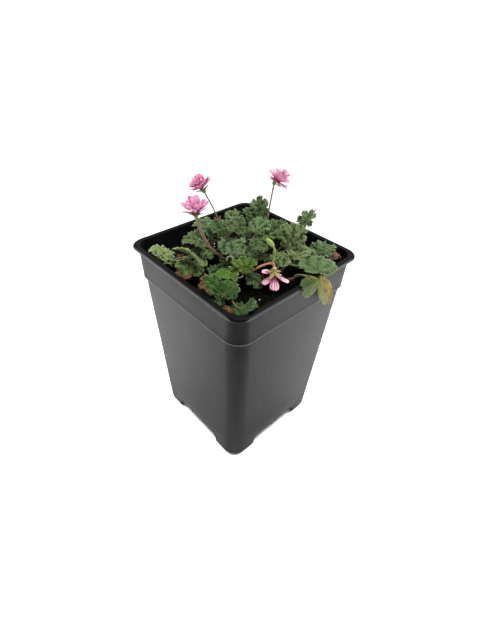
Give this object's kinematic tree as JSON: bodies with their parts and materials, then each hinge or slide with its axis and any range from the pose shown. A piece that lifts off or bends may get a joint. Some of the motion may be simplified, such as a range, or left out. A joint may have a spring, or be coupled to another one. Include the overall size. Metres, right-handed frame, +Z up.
{
  "type": "potted storksbill",
  "caption": "Small tufted storksbill with double pink blooms, a nodding bloom and a bud, growing in compost in a square plastic nursery pot.",
  "frame": {"origin": "on the pot's vertical axis, at the floor plane that the four corner feet stand on", "axes": "+Z up along the pot's axis; the square pot's walls face +X, -X, +Y and -Y; the nodding bloom and the hanging leaf are towards +X"},
  "size_m": [0.1122, 0.11, 0.1897],
  "materials": {
    "pot_plastic": "satin dark grey moulded plastic",
    "compost": "damp dark peat with pale grit",
    "root_wood": "rough brown bark",
    "petal_pink": "soft petal, pink with darker veins",
    "stalk": "hairy reddish-brown and green stalk",
    "leaf_grey_green": "downy crinkled grey-green leaf",
    "leaf_bright_green": "downy bright green leaf",
    "leaf_yellow": "withering yellow and green leaf",
    "leaf_brown": "dry brown leaf"
  },
  "bodies": {
    "root": {"pot": "pot_plastic", "soil": "compost", "rootstock": "root_wood", "bloom_left_tall_petals": "petal_pink", "bloom_left_tall_stalk": "stalk", "bloom_left_low_petals": "petal_pink", "bloom_left_low_stalk": "stalk", "bloom_right_petals": "petal_pink", "bloom_right_stalk": "stalk", "nodding_bloom_petals": "petal_pink", "nodding_bloom_stalk": "stalk", "brown_leaf_right": "leaf_brown", "dead_leaf_left": "leaf_brown", "dead_leaf_back": "leaf_brown", "yellow_leaf_front": "leaf_yellow", "leafy_shoot_centre": "leaf_grey_green", "leafy_shoot_back_left": "leaf_grey_green", "leafy_shoot_back": "leaf_grey_green", "leafy_shoot_left": "leaf_grey_green", "leafy_shoot_back_right": "leaf_grey_green", "leafy_shoot_right": "leaf_grey_green", "hanging_leaf_right": "leaf_yellow", "leafy_shoot_front": "leaf_bright_green", "leafy_shoot_left_corner": "leaf_grey_green", "leafy_shoot_front_corner": "leaf_grey_green"}
  },
  "joints": []
}
